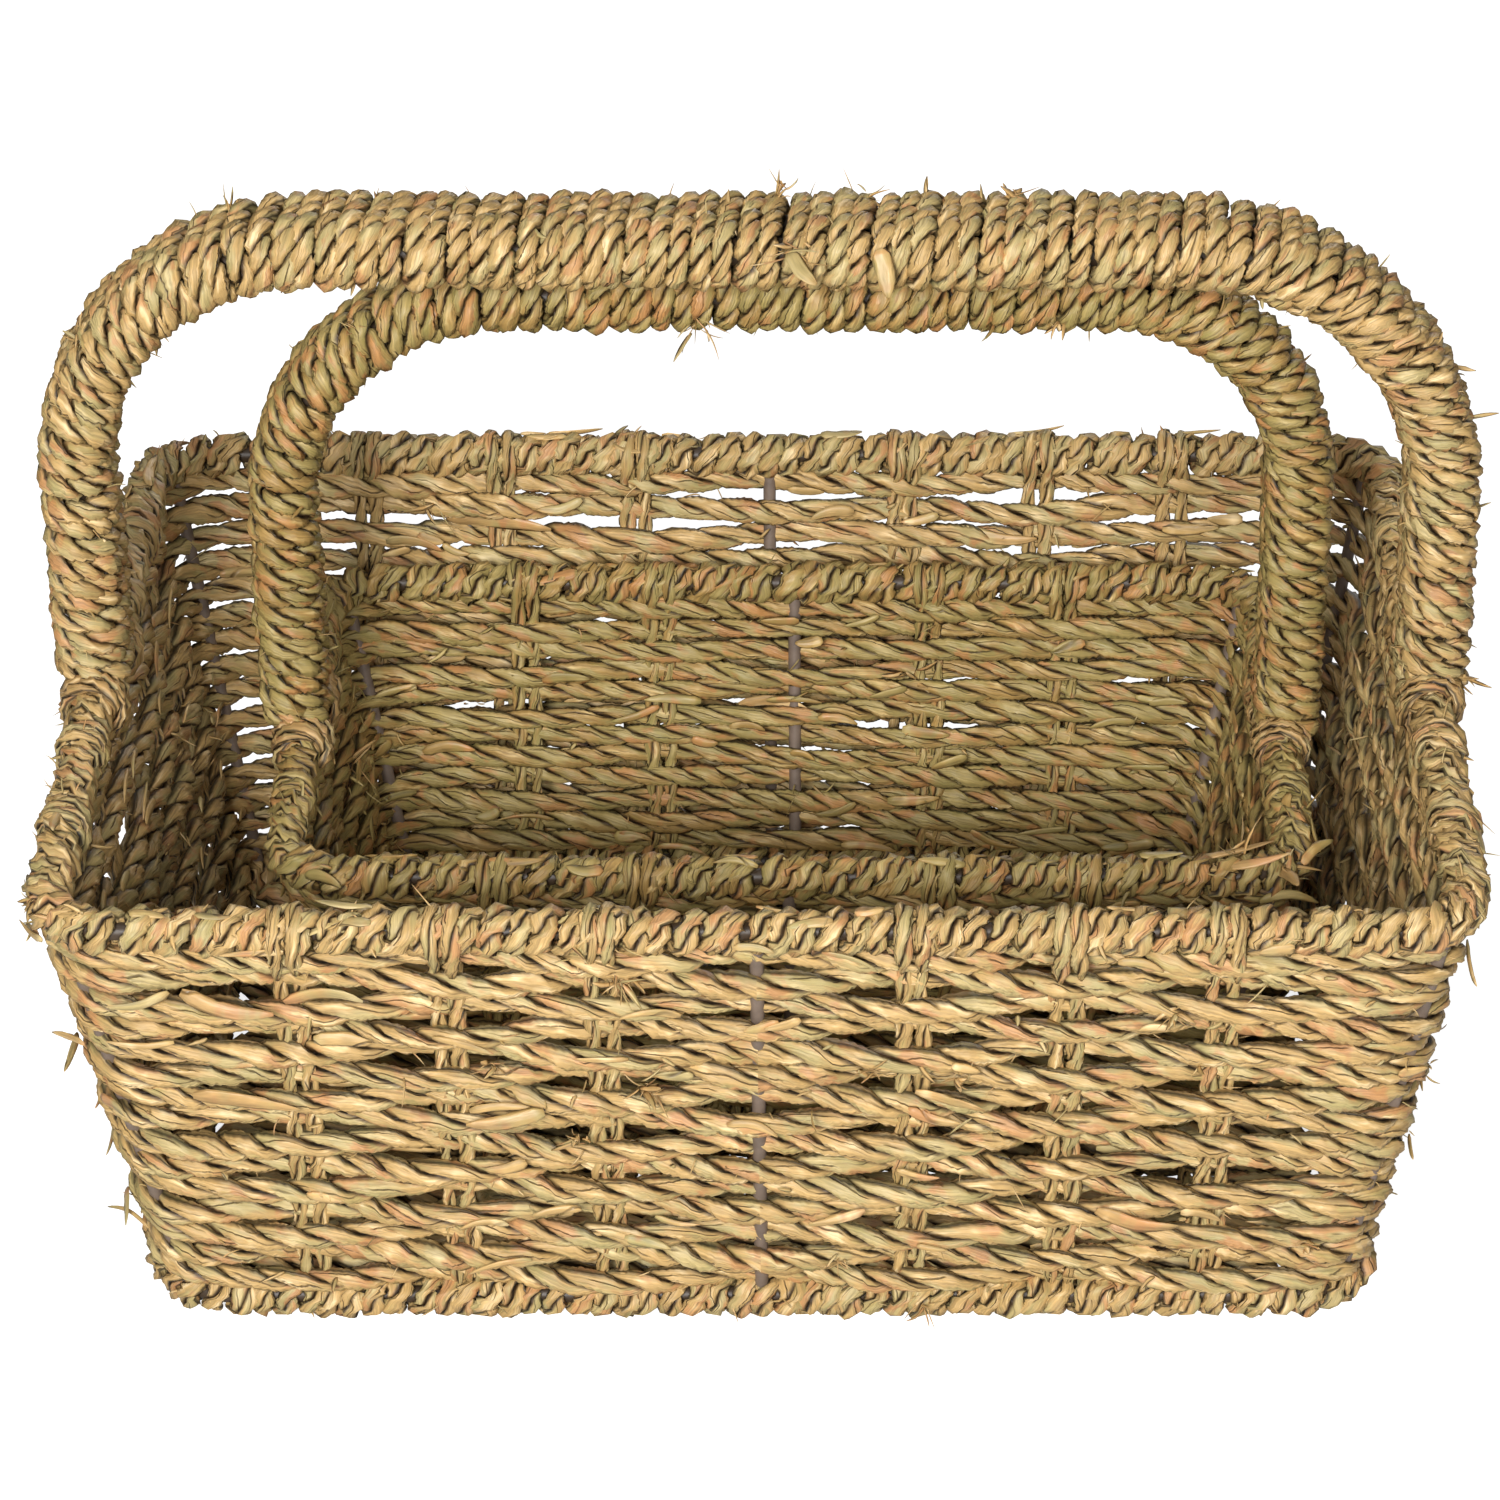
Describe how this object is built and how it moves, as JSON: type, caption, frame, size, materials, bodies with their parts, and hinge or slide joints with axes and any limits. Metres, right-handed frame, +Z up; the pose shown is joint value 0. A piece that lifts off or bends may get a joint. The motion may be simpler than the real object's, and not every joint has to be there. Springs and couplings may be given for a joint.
{
  "type": "storage basket",
  "caption": "Nesting pair of tapered rectangular woven baskets, the small one standing in the large one, each with a wrapped rim and a fixed wrapped hoop handle.",
  "frame": {"origin": "on the surface the large basket stands on, under the middle of the large basket", "axes": "+X along the long side and the handle bar, to the right; -Y the front long wall; +Z up"},
  "size_m": [0.4166, 0.293, 0.2988],
  "materials": {
    "frame_paint": "satin taupe paint on steel wire",
    "straw_seagrass": "twisted dried seagrass cord, straw yellow with olive and rust streaks, low gloss",
    "green_seagrass": "twisted dried seagrass cord, olive green with straw streaks, low gloss",
    "brown_lashing": "twisted dried seagrass cord, reddish brown streaks, low gloss"
  },
  "bodies": {
    "outer_basket": {"outer_rim_wire": "frame_paint", "outer_base_wire": "frame_paint", "outer_upright_wires": "frame_paint", "outer_floor_wires": "frame_paint", "outer_handle_front_rod": "frame_paint", "outer_handle_rear_rod": "frame_paint", "outer_warp_cords": "straw_seagrass", "outer_woven_wall": "straw_seagrass", "outer_woven_floor": "straw_seagrass", "outer_rim_wrap": "straw_seagrass", "outer_base_wrap": "straw_seagrass", "outer_handle_wrap": "straw_seagrass", "outer_lashing_left": "brown_lashing", "outer_lashing_right": "brown_lashing"},
    "inner_basket": {"inner_rim_wire": "frame_paint", "inner_base_wire": "frame_paint", "inner_upright_wires": "frame_paint", "inner_floor_wires": "frame_paint", "inner_handle_front_rod": "frame_paint", "inner_handle_rear_rod": "frame_paint", "inner_warp_cords": "green_seagrass", "inner_woven_wall": "green_seagrass", "inner_woven_floor": "green_seagrass", "inner_rim_wrap": "green_seagrass", "inner_base_wrap": "green_seagrass", "inner_handle_wrap": "green_seagrass", "inner_lashing_left": "brown_lashing", "inner_lashing_right": "brown_lashing"}
  },
  "joints": [
    {"name": "inner_lift", "type": "slide", "parent": "outer_basket", "child": "inner_basket", "axis": [0, 0.196, 0.9806], "range_m": [0, 0.142]}
  ]
}
